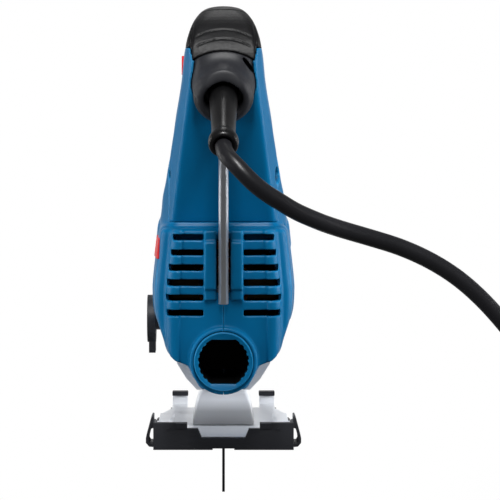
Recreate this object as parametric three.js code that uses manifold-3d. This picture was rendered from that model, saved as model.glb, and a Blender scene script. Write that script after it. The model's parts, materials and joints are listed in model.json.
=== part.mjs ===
// Bow-handle jigsaw with mains cord. Millimetres, +X right, +Y cutting direction, +Z up.
// Origin: underside of the sole on its centreline, 32 mm behind the blade.
import * as THREE from "three";
import { mergeVertices } from "three/addons/utils/BufferGeometryUtils.js";
import Module from "manifold-3d";

const wasm = await Module();
wasm.setup();

// ---------------------------------------------------------------- driving dimensions
const GAP = 0.3;                 // clearance kept between neighbouring pieces
const WALL = 2.8;                // housing wall thickness
const MOTOR_Z = 82;              // armature axis height
const GEAR_Z = 104;              // drive gear axis height
const MODULE = 0.8, PINION_TEETH = 8, GEAR_TEETH = 47;
const CRANK_R = 10;              // half of the 20 mm stroke
const BLADE_Y = 32;              // plunger axis
const BEVEL_Z = 4;               // base tilts about a line along Y at this height
const PORT_Y = -104, PORT_Z = 49.2, PORT_R = 14.4, PORT_BORE = 11.9;
const CORD_D = 7.7, FLOOR_Z = -37.6;
const COIL = { x: 258, y: -100, r: [36.5, 44.2, 51.9] };

// ---------------------------------------------------------------- solid helpers
const solid = (g) => {
  let q = g.clone();
  q.deleteAttribute("normal"); q.deleteAttribute("uv");
  q = mergeVertices(q, 1e-4);
  return new wasm.Manifold(new wasm.Mesh({
    numProp: 3, vertProperties: new Float32Array(q.attributes.position.array), triVerts: new Uint32Array(q.index.array),
  }));
};
const geo = (m) => {
  const q = m.getMesh();
  const g = new THREE.BufferGeometry();
  const n = q.numProp, v = q.vertProperties, p = new Float32Array((v.length / n) * 3);
  for (let i = 0; i < v.length / n; i++) { p[3 * i] = v[n * i]; p[3 * i + 1] = v[n * i + 1]; p[3 * i + 2] = v[n * i + 2]; }
  g.setAttribute("position", new THREE.BufferAttribute(p, 3));
  g.setIndex(new THREE.BufferAttribute(new Uint32Array(q.triVerts), 1));
  const out = g.toNonIndexed();
  out.computeVertexNormals();
  return out;
};
const cut = (a, ...bs) => bs.reduce((s, b) => s.subtract(b), a);
const join = (a, ...bs) => bs.reduce((s, b) => s.add(b), a);
const both = (a, ...bs) => bs.reduce((s, b) => s.intersect(b), a);

const shapeOf = (pts, holes = []) => {
  const s = new THREE.Shape(pts.map(([u, v]) => new THREE.Vector2(u, v)));
  for (const h of holes) s.holes.push(new THREE.Path(h.map(([u, v]) => new THREE.Vector2(u, v))));
  return s;
};
const prism = (pts, d, holes) => new THREE.ExtrudeGeometry(shapeOf(pts, holes), { depth: d, bevelEnabled: false });
// shape in (y,z), swept from x0 to x1
const prismXg = (pts, x0, x1, holes) => {
  const g = prism(pts, x1 - x0, holes);
  g.applyMatrix4(new THREE.Matrix4().set(0, 0, 1, x0, 1, 0, 0, 0, 0, 1, 0, 0, 0, 0, 0, 1));
  return g;
};
// shape in (x,z), swept from y0 to y1
const prismYg = (pts, y0, y1, holes) => prism(pts, y1 - y0, holes).rotateX(Math.PI / 2).translate(0, y1, 0);
// shape in (x,y), swept from z0 to z1
const prismZg = (pts, z0, z1, holes) => prism(pts, z1 - z0, holes).translate(0, 0, z0);
const prismX = (...a) => solid(prismXg(...a));
const prismY = (...a) => solid(prismYg(...a));
const prismZ = (...a) => solid(prismZg(...a));
const boxG = (x0, x1, y0, y1, z0, z1) =>
  new THREE.BoxGeometry(x1 - x0, y1 - y0, z1 - z0).translate((x0 + x1) / 2, (y0 + y1) / 2, (z0 + z1) / 2);
const box = (...a) => solid(boxG(...a));
const cylG = (r, a0, a1, axis, x, y, z, seg = 28, r2 = r) => {
  const g = new THREE.CylinderGeometry(r2, r, a1 - a0, seg).translate(0, (a0 + a1) / 2, 0); // along +Y
  if (axis === "z") g.rotateX(Math.PI / 2);
  if (axis === "x") g.rotateZ(-Math.PI / 2);
  return g.translate(x, y, z);
};
const cyl = (...a) => solid(cylG(...a));
const ngon = (r, n, cx = 0, cz = 0, a0 = 0) =>
  Array.from({ length: n }, (_, i) => [cx + r * Math.cos(a0 + (2 * Math.PI * i) / n), cz + r * Math.sin(a0 + (2 * Math.PI * i) / n)]);
const mirror = (right) => [...right, ...right.slice().reverse().map(([x, z]) => [-x, z])];
// even inset of a closed counter-clockwise outline
const inset = (pts, d) => pts.map((p, i) => {
  const a = pts[(i + pts.length - 1) % pts.length], b = pts[(i + 1) % pts.length];
  const e1 = new THREE.Vector2(p[0] - a[0], p[1] - a[1]).normalize(), e2 = new THREE.Vector2(b[0] - p[0], b[1] - p[1]).normalize();
  const n = new THREE.Vector2(-(e1.y + e2.y), e1.x + e2.x).normalize();
  const k = Math.min(2, 1 / Math.max(0.5, n.x * -e1.y + n.y * e1.x));
  return [p[0] + n.x * d * k, p[1] + n.y * d * k];
});
const gearOutline = (teeth, m, cx, cz, phase) => {
  const pts = [], rp = (m * teeth) / 2, ro = rp + 0.85 * m, ri = rp - 1.2 * m, t = (2 * Math.PI) / teeth;
  for (let i = 0; i < teeth; i++) {
    const a = phase + i * t;
    for (const [r, k] of [[ri, -0.36], [ro, -0.11], [ro, 0.11], [ri, 0.36]]) pts.push([cx + r * Math.cos(a + k * t), cz + r * Math.sin(a + k * t)]);
  }
  return pts;
};

// ---------------------------------------------------------------- materials
const mat = (hex, roughness, metalness = 0, extra = {}) => new THREE.MeshStandardMaterial({ color: hex, roughness, metalness, ...extra });
const BLUE = () => mat(0x14629a, 0.38), RUBBER = () => mat(0x17181b, 0.75), BLACK = () => mat(0x1d1e21, 0.45);
const STEEL = () => mat(0x9fa4aa, 0.35, 0.9), SILVER = () => mat(0xb9bec4, 0.45, 0.7), ZINC = () => mat(0xc4c8cc, 0.4, 0.8);
const COPPER = () => mat(0xb06a3a, 0.4, 0.9), BRASS = () => mat(0xb79a4c, 0.4, 0.9), RED = () => mat(0xc5262c, 0.4);
const CARBON = () => mat(0x2b2b2e, 0.8), GREY = () => mat(0x55585d, 0.6);

const jigsaw = new THREE.Group();
jigsaw.name = "jigsaw";
const add = (name, g, material, x = 0, y = 0, z = 0) => {
  const mesh = new THREE.Mesh(g instanceof THREE.BufferGeometry ? g : geo(g), material);
  mesh.name = name;
  mesh.position.set(x, y, z);
  jigsaw.add(mesh);
  return mesh;
};

// ---------------------------------------------------------------- housing outlines
// side outline (y,z), counter-clockwise
const SIDE = [
  [-104, 35], [-66, 33], [-28, 33], [-28, 47.4], [52, 47.4], [56.5, 56], [60, 72], [60.5, 92], [58, 118], [54, 140],
  [47, 162], [36, 182], [21, 197], [0, 207.5], [-28, 213], [-58, 214.4], [-88, 213], [-106, 206.5], [-116, 197],
  [-118, 184], [-113, 168], [-104, 148], [-95, 128], [-89.5, 116], [-92, 113.2], [-104, 112], [-105, 108], [-105, 60],
];
// finger gap (y,z), counter-clockwise
const GRIP_GAP = [
  [-58, 124], [-50, 121], [-10, 119.5], [0, 120.5], [6, 125], [9.5, 134], [10, 148], [7, 158], [0, 166], [-12, 171.5],
  [-40, 174.5], [-66, 174], [-79, 169.5], [-83, 161], [-80, 152], [-70, 134],
];
// rear silhouette (x,z), right half from the bottom up
const REAR = mirror([
  [11.4, 33], [13.6, 36], [16.3, 38.7], [16.9, 41.5], [23.2, 43.6], [28.1, 46.6], [30.4, 57.5], [32.7, 66], [34.1, 72], [34.6, 80],
  [34.6, 86], [33.8, 95], [31.9, 108], [29.2, 123], [25.3, 147], [22.3, 165], [20.2, 180], [18.9, 194], [17.2, 202], [14.6, 208], [9.5, 212.8], [5, 214.2],
]);
// plan limits (x,y): body below the hand, and handle above it
const PLAN_LOW = mirror([[24, -105.2], [30.5, -102], [34, -95], [34.8, -84], [34.8, -14], [33, 6], [30, 26], [25.5, 44], [19, 55], [10, 60.6]]);
const PLAN_TOP = mirror([[9, -118.4], [15.5, -114], [20, -105], [25, -96], [34.8, -84], [34.8, -14], [30, 10], [24, 36], [18.5, 50], [9, 58.4]]);

const bodySolid = (d) => {
  const lift = d ? (p) => inset(p, d) : (p) => p;
  const gap = d ? inset(GRIP_GAP, -d) : GRIP_GAP;
  const side = prismX(lift(SIDE), -40, 40);
  const rear = prismY(lift(REAR), -125, 65);
  const plan = join(prismZ(lift(PLAN_LOW), 20, 116), prismZ(lift(PLAN_TOP), 115.9, 220));
  return cut(both(side, rear, plan), prismX(gap, -45, 45));
};
const OUTER = bodySolid(0), INNER = bodySolid(WALL);

// rubber cap over the handle: everything above this line
const CAP_LINE = [[-122, 193.5], [-96, 193.5], [-70, 197], [-30, 197], [4, 190], [26, 176], [41, 152], [49, 128], [52, 100]];
const capZone = (s) => prismX([...CAP_LINE.map(([y, z]) => [y + s * 0.8, z + s]), [80, 100], [80, 230], [-130, 230]], -41, 41);
const grip = cut(both(OUTER, capZone(GAP)), INNER, box(-41, 41, 40, 90, 60, 128));
add("handle_grip", grip, RUBBER());

// ---------------------------------------------------------------- shells
const ventCuts = [];
for (let i = 0; i < 6; i++) {
  const z = 108.9 - i * 7.32 - 1.7 - 0.2;
  for (const s of [-1, 1]) {
    const x0 = 9.6, x1 = [25, 25.6, 26.6, 27.4, 27.8, 27.4][i] + 6;
    ventCuts.push(box(Math.min(s * x0, s * x1), Math.max(s * x0, s * x1), -112, -94, z - 1.5, z + 1.5));
  }
}
let shell = cut(OUTER, INNER);
shell = cut(shell, box(-41, 41, 52.4, 80, 40, 76.6), box(-11.3, 11.3, 24, 80, 40, 78), box(-23.4, 23.4, 3, 53, 40, 78), ...ventCuts);
// the rubber cap's seat
shell = cut(shell, join(capZone(-0.0)).subtract(box(-41, 41, 40, 90, 60, 128)));
// port seat, collar seat, key channel and key hole, switch opening, lock button hole, lever hole
shell = cut(shell,
  cyl(PORT_R + GAP, -112, -70, "y", 0, 0, PORT_Z, 32),
  box(-15.9, 15.9, -125, -104, 155, 196.6),
  box(-3.2, 3.2, -112, -101.6, 74, 112.6),
  box(-3.3, 3.3, -112, -90, 147, 158.4),
  box(-6.6, 6.6, -20.8, 4.2, 160, 178),
  box(-30, -10, -82.4, -69.6, 182.6, 190.8),
  cyl(6.4, -45, -18, "x", 0, 20, 56, 24));
const HALF = (s) => (s < 0 ? box(-60, -GAP / 2, -140, 90, 0, 240) : box(GAP / 2, 60, -140, 90, 0, 240));
// clip pillars beside the key channel
const pillar = (s) => {
  const b = box(s < 0 ? -9.1 : 3.5, s < 0 ? -3.5 : 9.1, -108.6, -103, 78.6, 110.4);
  return b;
};
// boss pairs that the case screws go through (y,z)
const SCREWS = [[-76, 107.5], [-66, 52], [-3, 111.5], [-56, 186], [-84, 136], [48.4, 109.4]];
const HEAD_X = [18, 18, 18, 14.4, 18, 18];
const boss = (s) => SCREWS.map(([y, z]) => cyl(4.4, s < 0 ? -40 : GAP / 2, s < 0 ? -GAP / 2 : 40, "x", 0, y, z, 12));
const screwHole = SCREWS.map(([y, z]) => cyl(1.9, -16, 60, "x", 0, y, z, 12));
const screwHead = SCREWS.map(([y, z], i) => cyl(4.0, HEAD_X[i] - 0.5, 60, "x", 0, y, z, 16));
for (const [s, name] of [[-1, "housing_left"], [1, "housing_right"]]) {
  let h = both(shell, HALF(s));
  h = join(h, pillar(s));
  h = join(h, ...boss(s).map((b) => both(b, OUTER)));
  h = cut(h, capZone(0).subtract(box(-41, 41, 40, 90, 60, 128)), ...screwHole, ...screwHead);
  add(name, h, BLUE());
}
// case screws, driven from the right
SCREWS.forEach(([y, z], i) => {
  const hx = HEAD_X[i], head = cylG(3.6, hx, hx + 3, "x", 0, y, z, 14), shank = cyl(1.55, -12, hx + 0.5, "x", 0, y, z, 10);
  add(`case_screw_${i + 1}`, cut(join(solid(head), shank), cyl(1.2, hx + 1.4, 25, "x", 0, y, z, 6)), STEEL());
});

// ---------------------------------------------------------------- dust port, collar, sleeve
const teeth = [];
for (let i = 0; i < 24; i++) {
  const a = (i / 24) * 2 * Math.PI, r = Math.abs(Math.sin(a)) > 0.86 ? PORT_BORE - 0.9 : PORT_BORE + (i % 2 ? 0.0 : 0.7);
  teeth.push([r * Math.cos(a), PORT_Z + r * Math.sin(a)]);
}
add("dust_port", cut(cyl(PORT_R, -109, -71, "y", 0, 0, PORT_Z, 32), prismY(teeth, -110, -70)), BLUE());

const COLLAR = mirror([[3.2, 162.2], [8, 163.7], [12.5, 166.8], [14.5, 172.5], [15.3, 180.5], [15.1, 186], [11.5, 192.2], [5, 196]]);
const SLEEVE_DIR = new THREE.Vector3(0, -0.9033, -0.429).normalize();
const SLEEVE_MOUTH = new THREE.Vector3(0, -127.5, 171.9);
const tilt = Math.atan2(-SLEEVE_DIR.z, -SLEEVE_DIR.y);        // nose-down angle of the cable exit
const alongSleeve = (g, y, z) => g.rotateX(tilt).translate(0, y, z);
const sleeveHole = solid(alongSleeve(cylG(6.9, -40, 60, "y", 0, 0, 0, 24), SLEEVE_MOUTH.y, SLEEVE_MOUTH.z));
add("rear_collar", cut(both(prismY(COLLAR, -127, -104.3), prismX([[-127.5, 176], [-124, 162], [-103, 158], [-103, 198], [-119, 197]], -20, 20)),
  both(OUTER, box(-40, 40, -118.6, -100, 150, 230)).subtract(box(-15.5, 15.5, -125, -104, 155, 193.2)), sleeveHole), BLACK());
// lathe profile: radius against distance along the sleeve, from its buried flange to its open end
const sleeve = [[0, -14], [6.5, -14], [6.5, 0], [6.1, 8], [5.4, 26], [5.5, 36], [6.5, 39.5], [6.7, 42], [6.3, 44.4], [5.2, 44.9], [0, 44.9]]
  .map(([r, a]) => new THREE.Vector2(r, a));
const sleeveG = new THREE.LatheGeometry(sleeve, 24);        // about +Y
sleeveG.rotateX(Math.PI);                                   // profile runs towards -Y
add("cable_sleeve", solid(alongSleeve(sleeveG, SLEEVE_MOUTH.y, SLEEVE_MOUTH.z)), RUBBER());
add("cable_clamp", cut(box(-13, 13, -101.6, -94, 172, 181), box(-4, 4, -103, -93, 176, 182)), GREY());

// ---------------------------------------------------------------- mains cord, its coil and plug
const CORD_PTS = [
  [0, -168.45, 152.45], [0.25, -172.8, 150.25], [1.9, -176.4, 147.7], [5.3, -179.4, 144.9], [8.0, -180.8, 141.8], [11.0, -181.2, 138.8],
  [13.8, -181, 135.9], [17.2, -180.4, 133.4], [20.5, -179.6, 130.9], [24.2, -178.4, 128.9], [27.5, -177, 126.6], [31.0, -175.4, 124.4],
  [34.8, -173.6, 122.5], [38.8, -171.6, 120.8], [42.8, -169.4, 118.9], [46.9, -167, 117.4], [51.0, -164.6, 115.9], [55.2, -162, 114.5],
  [66.5, -158.2, 111.0], [79, -155.4, 106.9], [92, -153.6, 101.0], [104.5, -152.6, 93.2], [116, -152.1, 83.2], [126.5, -151.9, 71.6],
  [136.5, -151.9, 59.0], [146, -151.9, 45.6], [155.5, -151.9, 31.8], [165.5, -151.9, 17.6], [176.5, -151.9, 3.4], [188.8, -151.9, -9.8],
  [201, -151.9, -21.2], [214, -151.9, -29.3], [227, -151.9, -33.2],
].map((p) => new THREE.Vector3(...p));
const tube = (pts, r, sides, steps) => {
  const path = new THREE.CatmullRomCurve3(pts, false, "centripetal");
  const s = new THREE.Shape(ngon(r, sides).map(([u, v]) => new THREE.Vector2(u, v)));
  return solid(new THREE.ExtrudeGeometry(s, { steps, bevelEnabled: false, extrudePath: path }));
};
add("cord", tube(CORD_PTS, CORD_D / 2, 8, 30), RUBBER());
const coilIn = COIL.r[0] - CORD_D / 2, coilOut = COIL.r[2] + CORD_D / 2;
const coilRing = new THREE.LatheGeometry(
  [[coilIn, 0], [coilOut, 0], [coilOut, 3 * CORD_D], [coilIn, 3 * CORD_D], [coilIn, 0]].map(([r, a]) => new THREE.Vector2(r, a)), 36)
  .rotateX(Math.PI / 2);
add("cord_coil", solid(coilRing), RUBBER(), COIL.x, COIL.y, FLOOR_Z);
const TAIL_PTS = [[-24.5, 61.8, 24.2], [-34.6, 64.6, 20.2], [-43.9, 70.6, 14.6], [-50.4, 79.4, 9.2], [-53, 90, 5.4], [-52, 101, 4.4],
  [-47, 111, 5.4], [-39, 118.6, 8.6], [-29.5, 122.8, 11.8], [-21, 124, 13.2], [-16.6, 124, 13.4]]
  .map(([x, y, z]) => new THREE.Vector3(COIL.x + x, COIL.y + y, FLOOR_Z + z));
add("cord_tail", tube(TAIL_PTS, CORD_D / 2, 8, 12), RUBBER());
// moulded plug lying on its flat side, pins towards +X
const PLUG = { x: COIL.x - 15.4, y: COIL.y + 124, z: FLOOR_Z };
const plugOutline = mirror([[5, -13.4], [13, -12.6], [17.6, -7], [18.6, 0], [17.6, 7], [13, 12.6], [5, 13.4]]).map(([y, z]) => [y, z + 13.4]);
const plugBody = join(
  prismX(plugOutline, 16, 42),
  solid(cylG(12.6, 0, 16.4, "x", 0, 0, 13.4, 20)).intersect(box(-1, 17, -14, 14, 0.5, 26.3)));
add("plug_body", plugBody, RUBBER(), PLUG.x, PLUG.y, PLUG.z);
for (const [s, name] of [[-1, "plug_pin_left"], [1, "plug_pin_right"]])
  add(name, join(solid(cylG(2.4, 42.3, 59.4, "x", 0, s * 9.5, 13.4, 12)), solid(cylG(2.4, 59.3, 61.2, "x", 0, s * 9.5, 13.4, 12, 1.5))), BRASS(), PLUG.x, PLUG.y, PLUG.z);
const tieR = 3;
add("cord_tie", cut(box(-coilOut - tieR, tieR - coilIn, -4, 4, 0, 3 * CORD_D + tieR), box(-coilOut - GAP, 0.8 - coilIn, -5, 5, -1, 3 * CORD_D + GAP)), BLACK(), COIL.x, COIL.y, FLOOR_Z);

// ---------------------------------------------------------------- motor
add("stator_core", cut(cyl(26, -60, -26, "y", 0, 0, MOTOR_Z, 28), cyl(17.3, -61, -25, "y", 0, 0, MOTOR_Z, 24), box(-6, 6, -61, -25, MOTOR_Z + 16, MOTOR_Z + 21), box(-6, 6, -61, -25, MOTOR_Z - 21, MOTOR_Z - 16)), STEEL());
for (const [s, name] of [[1, "field_coil_upper"], [-1, "field_coil_lower"]]) {
  const z0 = Math.min(s * 17.2, s * 20.6), z1 = Math.max(s * 17.2, s * 20.6);
  add(name, box(-5.6, 5.6, -66, -20, MOTOR_Z + z0, MOTOR_Z + z1), COPPER());
}
add("armature_shaft", join(cyl(3, -96, -20, "y", 0, 0, MOTOR_Z, 16), cyl(3, -20.2, 11.6, "y", 0, 0, MOTOR_Z, 16)), STEEL());
add("armature_core", cut(cyl(16.6, -59, -27, "y", 0, 0, MOTOR_Z, 24), cyl(3.3, -70, 0, "y", 0, 0, MOTOR_Z, 16)), STEEL());
add("armature_winding", cut(cyl(13.5, -68.5, -59.3, "y", 0, 0, MOTOR_Z, 20), cyl(3.3, -70, -50, "y", 0, 0, MOTOR_Z, 16)), COPPER());
add("commutator", cut(cyl(9, -83, -69, "y", 0, 0, MOTOR_Z, 24), cyl(3.3, -90, -60, "y", 0, 0, MOTOR_Z, 16)), COPPER());
const blades = [];
for (let i = 0; i < 9; i++) blades.push(solid(boxG(7.6, 23, -16, -9.8, -0.8, 0.8).rotateY((i / 9) * 2 * Math.PI).translate(0, 0, MOTOR_Z)));
add("cooling_fan", cut(join(cyl(24, -18, -15.7, "y", 0, 0, MOTOR_Z, 28), cyl(8, -18, -9.8, "y", 0, 0, MOTOR_Z, 18), ...blades), cyl(3.3, -30, 0, "y", 0, 0, MOTOR_Z, 16)), BLACK());
add("armature_pinion", prismY(gearOutline(PINION_TEETH, MODULE * 0.97, 0, MOTOR_Z, Math.PI / 2), 12, 19.6), STEEL());
for (const [y0, y1, name] of [[-92.5, -86.5, "rear_bearing"], [-3.6, 2.4, "front_bearing"]])
  add(name, cut(cyl(8, y0, y1, "y", 0, 0, MOTOR_Z, 20), cyl(3.3, y0 - 1, y1 + 1, "y", 0, 0, MOTOR_Z, 16)), STEEL());
for (const [s, side] of [[-1, "left"], [1, "right"]]) {
  const X = (a, b) => (s < 0 ? [-b, -a] : [a, b]);
  const [h0, h1] = X(12, 25), [c0, c1] = X(9.4, 20), [i0, i1] = X(11, 26.5);
  add(`brush_holder_${side}`, cut(box(h0, h1, -80.5, -71.5, MOTOR_Z - 5.5, MOTOR_Z + 5.5), box(i0, i1, -79, -73, MOTOR_Z - 3.7, MOTOR_Z + 3.7)), BRASS());
  add(`carbon_brush_${side}`, box(c0, c1, -78.6, -73.4, MOTOR_Z - 3.3, MOTOR_Z + 3.3), CARBON());
}

// ---------------------------------------------------------------- gear housing
const V_LOW = mirror([[13.4, 25], [18.6, 30.6], [23.2, 38], [26.4, 46.9]]);
let casting = both(prismY(V_LOW, -27.6, 51.6), prismZ(mirror([[27, -28], [27, 10], [25, 34], [21, 46], [13, 52]]), 20, 60));
casting = join(casting, box(-23, 23, 3.4, 52, 46.5, 76.2), box(-23, 23, 3.4, 9.4, 46.5, 116));
casting = cut(casting,
  box(-19.6, 19.6, 9.4, 45, 58, 90), box(-11, 11, 22.4, 60, 20, 57),                 // gear space and blade well
  cyl(3.6, 0, 20, "y", 0, 0, MOTOR_Z, 20),
  box(-19.6, 19.6, 9.4, 60, 56.9, 58.1), box(-10, 10, -40, 12, 20, 42.6),
  box(-3.8, 3.8, 11, 25, 20, 46), box(-40, 40, 44, 60, 66, 90), box(-11.2, 11.2, 43, 60, 55, 80));
casting = cut(casting, cyl(6.8, -60, 60, "x", 0, 20, 56, 20));
add("gear_housing", casting, SILVER());
add("gear_axle", cyl(3, 9.7, 21.5, "y", 0, 0, GEAR_Z, 16), STEEL());
const gear = cut(join(prismY(gearOutline(GEAR_TEETH, MODULE * 0.985, 0, GEAR_Z, -Math.PI / 2 + Math.PI / GEAR_TEETH), 13, 19.4),
  cyl(2.8, 19.3, 22.7, "y", CRANK_R, 0, GEAR_Z, 14)), cyl(3.4, 12, 20, "y", 0, 0, GEAR_Z, 16));
add("drive_gear", gear, STEEL());
const rodHole = cyl(4.6, -60, 60, "z", 0, BLADE_Y, 105, 18);
add("scotch_yoke", cut(join(box(-17, 17, 23, 26.4, 98, 110), box(-8, 8, 26.2, 38.4, 98.5, 109.5)), box(-13.4, 13.4, 22, 26.2, 100.8, 107.2), rodHole), STEEL());
add("plunger_rod", cyl(4.3, 52, 140, "z", 0, BLADE_Y, 0, 18), STEEL());
add("plunger_bush_upper", cut(box(-9, 9, BLADE_Y - 8, BLADE_Y + 8, 123, 134), rodHole), BRASS());
add("plunger_bush_lower", cut(box(-9, 9, BLADE_Y - 8, BLADE_Y + 8, 67, 80), rodHole), BRASS());
add("blade_clamp", cut(join(cyl(7.2, 37.4, 54, "z", 0, BLADE_Y, 0, 20), box(-2.6, 2.6, BLADE_Y - 9, BLADE_Y - 4, 39, 50)),
  cyl(4.6, 51.7, 60, "z", 0, BLADE_Y, 0, 18), box(-0.95, 0.95, BLADE_Y - 10, BLADE_Y + 4.3, 30, 49)), ZINC());
// blade: shank, body and teeth in one outline (y,z)
const bladePts = [[28.4, 48.4], [27.9, 30], [27.6, -33], [30.6, -37.6], [33.6, -37.6]];
for (let z = -36; z < 14; z += 2) bladePts.push([35.4, z], [34.2, z + 1.2]);
bladePts.push([34.8, 16], [35.6, 26], [35.6, 33], [35.9, 48.4]);
add("blade", prismX(bladePts, -0.7, 0.7), mat(0x2a2b2e, 0.5, 0.6));

// ---------------------------------------------------------------- controls
const TRIG = [[-20, 171.3], [-17, 166.6], [-8, 163.8], [2, 161.8], [3.4, 164], [3.4, 175.4], [-19.4, 175.4]];
add("trigger", cut(prismX(TRIG, -6.2, 6.2), box(-3.4, 3.4, -18.3, -6.9, 160, 174)), BLACK());
add("speed_dial", cyl(5.2, -3, 3, "x", 0, -12.6, 168.2, 22), BLACK());
add("switch_module", box(-9, 9, -44, 2, 181, 193), GREY());
add("lock_button", cut(solid(boxG(-19.2, -15.6, -81.8, -70.2, 183.2, 190.2)), box(-22, -18.5, -83, -80.6, 180, 192)), RED());
add("orbital_lever", join(cyl(12.4, -39.6, -35.2, "x", 0, 20, 56, 24), box(-38.8, -35.4, 14, 26, 38.6, 52), cyl(5.9, -35.3, -20.4, "x", 0, 20, 56, 18)), BLACK());
add("release_lever", join(prismX([[50, 60.4], [56.4, 62.6], [59.6, 72], [61.4, 75.4], [57, 75.6], [50, 68]], -8.6, 8.6), cyl(2.6, -10.6, 10.6, "x", 0, 52, 64, 12)), GREY());
add("roller_fork", cut(join(box(-3.4, 3.4, 14.6, 22.6, 24, 45), box(-3.4, 3.4, 15, 25.2, 14.5, 27)), box(-2.2, 2.2, 8, 27, 12, 30)), STEEL());
add("guide_roller", cut(cyl(6.4, -1.9, 1.9, "x", 0, 20.8, 20, 20), box(-0.8, 0.8, 10, 40, 10, 10.2)), STEEL());
add("chip_guard", cut(box(-14, 14, 52.2, 55.4, 27, 56), box(-10.5, 10.5, 50, 54.2, 20, 52)), mat(0xcfd8dc, 0.1, 0, { transparent: true, opacity: 0.35 }));
add("side_badge", prismX([[-88, 93], [-66, 93], [-62, 102], [-85, 102]], -35.6, -34.9), RED());

// ---------------------------------------------------------------- hex key in its clip
const keyPath = new THREE.CurvePath();
const V3 = (x, y, z) => new THREE.Vector3(x, y, z);
keyPath.add(new THREE.LineCurve3(V3(0, -107.6, 76.4), V3(0, -107.6, 148.2)));
keyPath.add(new THREE.QuadraticBezierCurve3(V3(0, -107.6, 148.2), V3(0, -107.6, 154.9), V3(0, -100.9, 154.9)));
keyPath.add(new THREE.LineCurve3(V3(0, -100.9, 154.9), V3(0, -92.5, 154.9)));
const hexShape = new THREE.Shape(ngon(2.9, 6, 0, 0, 0).map(([u, v]) => new THREE.Vector2(u, v)));
add("hex_key", solid(new THREE.ExtrudeGeometry(hexShape, { steps: 26, bevelEnabled: false, extrudePath: keyPath })), ZINC());

// ---------------------------------------------------------------- base
const PLATE = mirror([[33.2, -57.6], [33.2, 28.6], [27.6, 50.6], [27.6, 66], [19.4, 68], [19.4, 53], [6, 53]]);
const slot = box(-5.4, 5.4, 12, 90, -5, 30);
const EDGE = prismX([[-57, 4.1], [28, 4.1], [28, 4.9], [-29, 7.6], [-35, 10.4], [-57, 12.4]], -34, 34);
let plate = prismZ(PLATE, 2.3, 4.3);
for (const s of [-1, 1]) {
  const edge = [[25.5, 4.15], [33.2, 4.15], [33.2, 13], [32.2, 13]];
  plate = join(plate, both(prismY(s > 0 ? edge : edge.map(([x, z]) => [-x, z]).reverse(), -57, 28), EDGE));
}
for (const s of [-1, 1]) plate = join(plate, prismX([[63, 3], [67.4, 3], [71.4, 8.8], [70.2, 10.6], [68.4, 10.2], [68.6, 8.6], [65.4, 4.3]], s < 0 ? -27.6 : 19.4, s < 0 ? -19.4 : 27.6));
add("base_plate", cut(plate, slot), STEEL());
const OVER = mirror([[34.4, -62], [34.4, 29], [28.6, 51], [28.6, 68], [19.6, 72], [19.6, 62], [6.4, 62]]);
const FLANGE = [[-62, 0], [28, 0], [28, 2.6], [0, 6], [-24, 8], [-48, 13.3], [-62, 13.3]];
let shoe = join(prismZ(OVER, 0, 2), prismX([[-62, 0], [-58, 0], [-58, 13.3], [-62, 13.3]], -34.4, 34.4));
shoe = join(shoe, prismX(FLANGE, -34.4, -33.5), prismX(FLANGE, 33.5, 34.4));
shoe = cut(shoe, box(-6.4, 6.4, 12, 90, -5, 30), prismY([[-10.7, 5.9], [10.7, 5.9], [12.5, 10.4], [17.8, 10.4], [17.8, 20], [-17.8, 20], [-17.8, 10.4], [-12.5, 10.4]], -64, -56),
  box(-5.3, 5.3, -63, -54, -1, 0.7));
for (const s of [-1, 1]) {
  const loop = [[34.2, 16], [35, 16.2], [35.7, 14.6], [38.1, 5.6], [38.1, 3.2], [36.5, 1.3], [34.2, 1.1], [34.2, 3], [36, 3.1], [36.6, 4.2], [36.4, 6.4], [35.4, 10.2], [34.2, 10.6]];
  shoe = join(shoe, prismY(s > 0 ? loop : loop.map(([x, z]) => [-x, z]).reverse(), -60, -46));
}
add("overshoe", shoe, BLACK());
const arch = mirror([[15.8, 4.4], [15.3, 9], [14.4, 13.5], [13.3, 17.5], [11.8, 20.9], [6, 21.2]]);
let saddle = both(prismY(arch, -12, 11.4), prismX([[-12, 4.4], [11.4, 4.4], [11.4, 22], [-3, 22], [-6, 15], [-8, 8]], -20, 20));
add("saddle", cut(saddle, box(-3.4, 3.4, -2.8, 8, 0, 30)), ZINC());
add("bevel_screw", join(cyl(2.9, 4.9, 23.4, "z", 0, 2.6, 0, 14)), STEEL());

export default jigsaw;
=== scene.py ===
import bpy, bmesh, json, math, random
import numpy as np
from mathutils import Vector, Matrix

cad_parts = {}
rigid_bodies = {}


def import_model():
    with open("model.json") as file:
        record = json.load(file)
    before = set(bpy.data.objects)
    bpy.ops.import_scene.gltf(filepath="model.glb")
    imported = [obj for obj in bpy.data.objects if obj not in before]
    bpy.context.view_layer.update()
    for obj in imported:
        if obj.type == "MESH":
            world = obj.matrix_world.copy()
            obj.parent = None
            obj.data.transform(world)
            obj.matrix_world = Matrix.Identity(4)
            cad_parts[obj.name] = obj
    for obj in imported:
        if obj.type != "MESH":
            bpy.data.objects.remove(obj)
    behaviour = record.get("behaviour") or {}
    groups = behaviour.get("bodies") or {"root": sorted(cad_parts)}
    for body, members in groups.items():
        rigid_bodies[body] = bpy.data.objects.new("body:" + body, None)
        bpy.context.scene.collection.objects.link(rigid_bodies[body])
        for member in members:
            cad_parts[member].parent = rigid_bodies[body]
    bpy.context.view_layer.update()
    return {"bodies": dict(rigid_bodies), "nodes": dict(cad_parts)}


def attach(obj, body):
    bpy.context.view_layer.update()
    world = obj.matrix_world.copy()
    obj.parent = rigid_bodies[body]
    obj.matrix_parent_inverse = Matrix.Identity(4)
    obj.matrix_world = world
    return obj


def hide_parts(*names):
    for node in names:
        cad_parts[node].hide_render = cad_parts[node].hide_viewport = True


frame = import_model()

random.seed(7)
rng = np.random.default_rng(7)
MM = 0.001
FLOOR = -0.0376

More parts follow.
